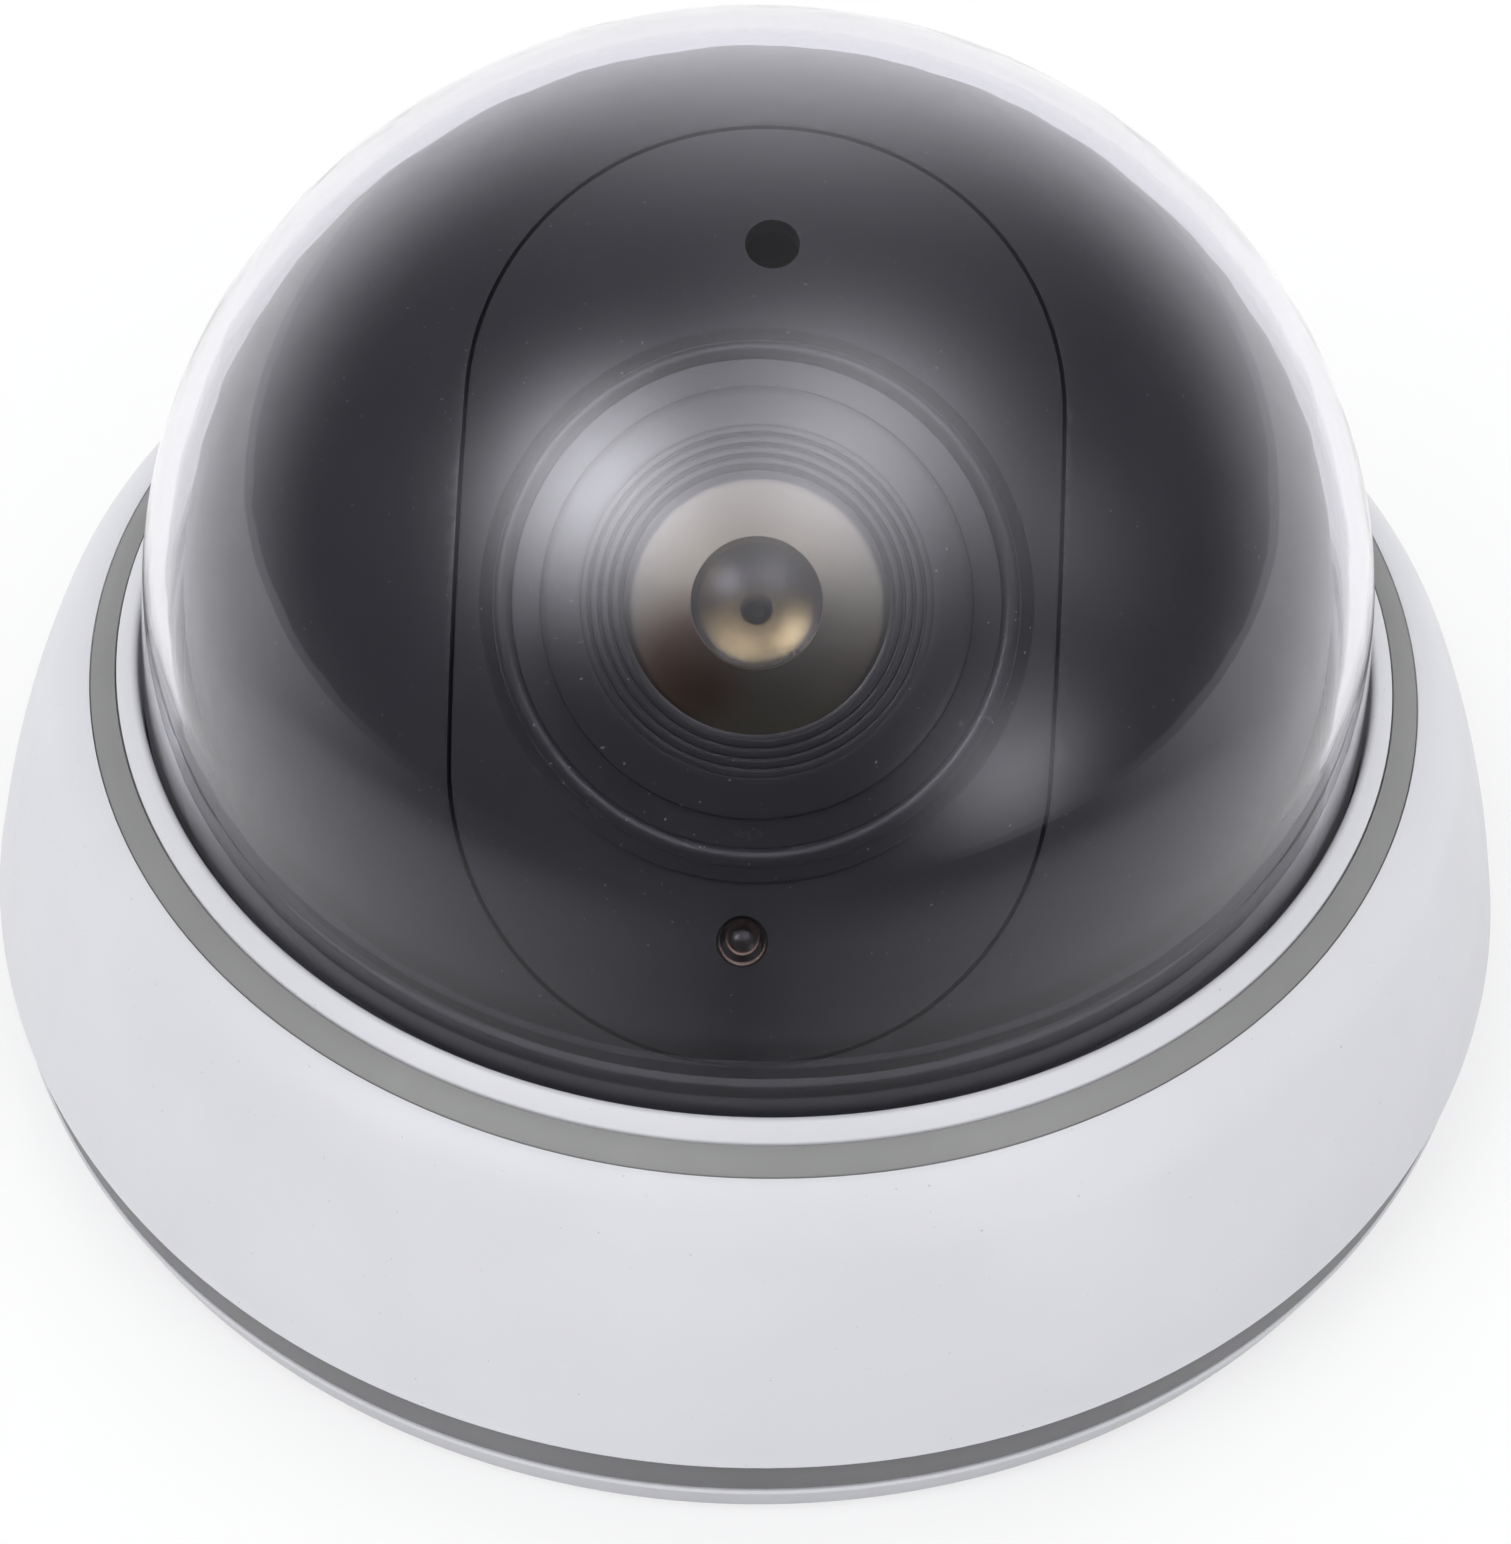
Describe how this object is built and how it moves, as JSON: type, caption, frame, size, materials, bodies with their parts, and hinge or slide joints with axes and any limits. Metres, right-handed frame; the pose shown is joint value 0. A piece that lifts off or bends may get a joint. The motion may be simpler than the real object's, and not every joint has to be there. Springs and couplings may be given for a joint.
{
  "type": "dome camera",
  "caption": "Battery dome camera: flared white housing on a twist-lock base plate, clear dome, black inner shell with a lens module and an indicator lamp.",
  "frame": {"origin": "centre of the base plate's underside, which lies on the ceiling, wall or table", "axes": "+Z out of the mounting surface through the dome's top, -Y the side that the lens looks towards"},
  "size_m": [0.12, 0.12, 0.0744],
  "materials": {
    "white_shell": "semi-gloss moulded plastic",
    "grey_trim": "satin grey band",
    "clear_shell": "clear moulded plastic, polished",
    "black_shell": "smooth moulded plastic",
    "black_bezel": "satin turned rings",
    "lens_clear": "polished",
    "brass_cup": "satin",
    "lamp_resin": "clear tinted resin",
    "circuit_board": "lacquered glass-fibre board",
    "chip_resin": "poured black resin",
    "resistor_body": "lacquer with colour bands",
    "screw_steel": "zinc-plated",
    "cell_sleeve": "printed plastic sleeve",
    "contact_metal": "nickel-plated spring steel",
    "switch_plastic": "moulded plastic",
    "wire_red": "soft plastic insulation",
    "wire_black": "soft plastic insulation"
  },
  "bodies": {
    "base": {"base_plate": "white_shell"},
    "camera_body": {"housing": "white_shell", "upper_trim_ring": "grey_trim", "lower_trim_ring": "grey_trim", "clear_dome": "clear_shell", "inner_liner": "black_shell", "camera_module": "black_shell", "lens_bezel": "black_bezel", "lens": "lens_clear", "lens_reflector": "brass_cup", "lens_cap": "black_bezel", "led": "lamp_resin", "led_board": "circuit_board", "flasher_chip": "chip_resin", "led_resistor": "resistor_body", "board_screws": "screw_steel", "back_cover": "white_shell", "cover_screws": "screw_steel", "battery_cell_1": "cell_sleeve", "battery_cell_2": "cell_sleeve", "battery_springs": "contact_metal", "battery_contacts": "contact_metal", "switch_body": "switch_plastic", "red_wire": "wire_red", "switch_wire": "wire_red", "black_wire": "wire_black"},
    "door": {"battery_door": "white_shell"},
    "knob": {"switch_knob": "black_shell"}
  },
  "joints": [
    {"name": "twist_lock", "type": "hinge", "parent": "base", "child": "camera_body", "pos_m": [0, 0, 0], "axis": [0, 0, 1], "range_deg": [0, 25]},
    {"name": "battery_door_slide", "type": "slide", "parent": "camera_body", "child": "door", "axis": [1, 0, 0], "range_m": [0, 0.008]},
    {"name": "switch_slide", "type": "slide", "parent": "camera_body", "child": "knob", "axis": [1, 0, 0], "range_m": [0, 0.002]}
  ]
}
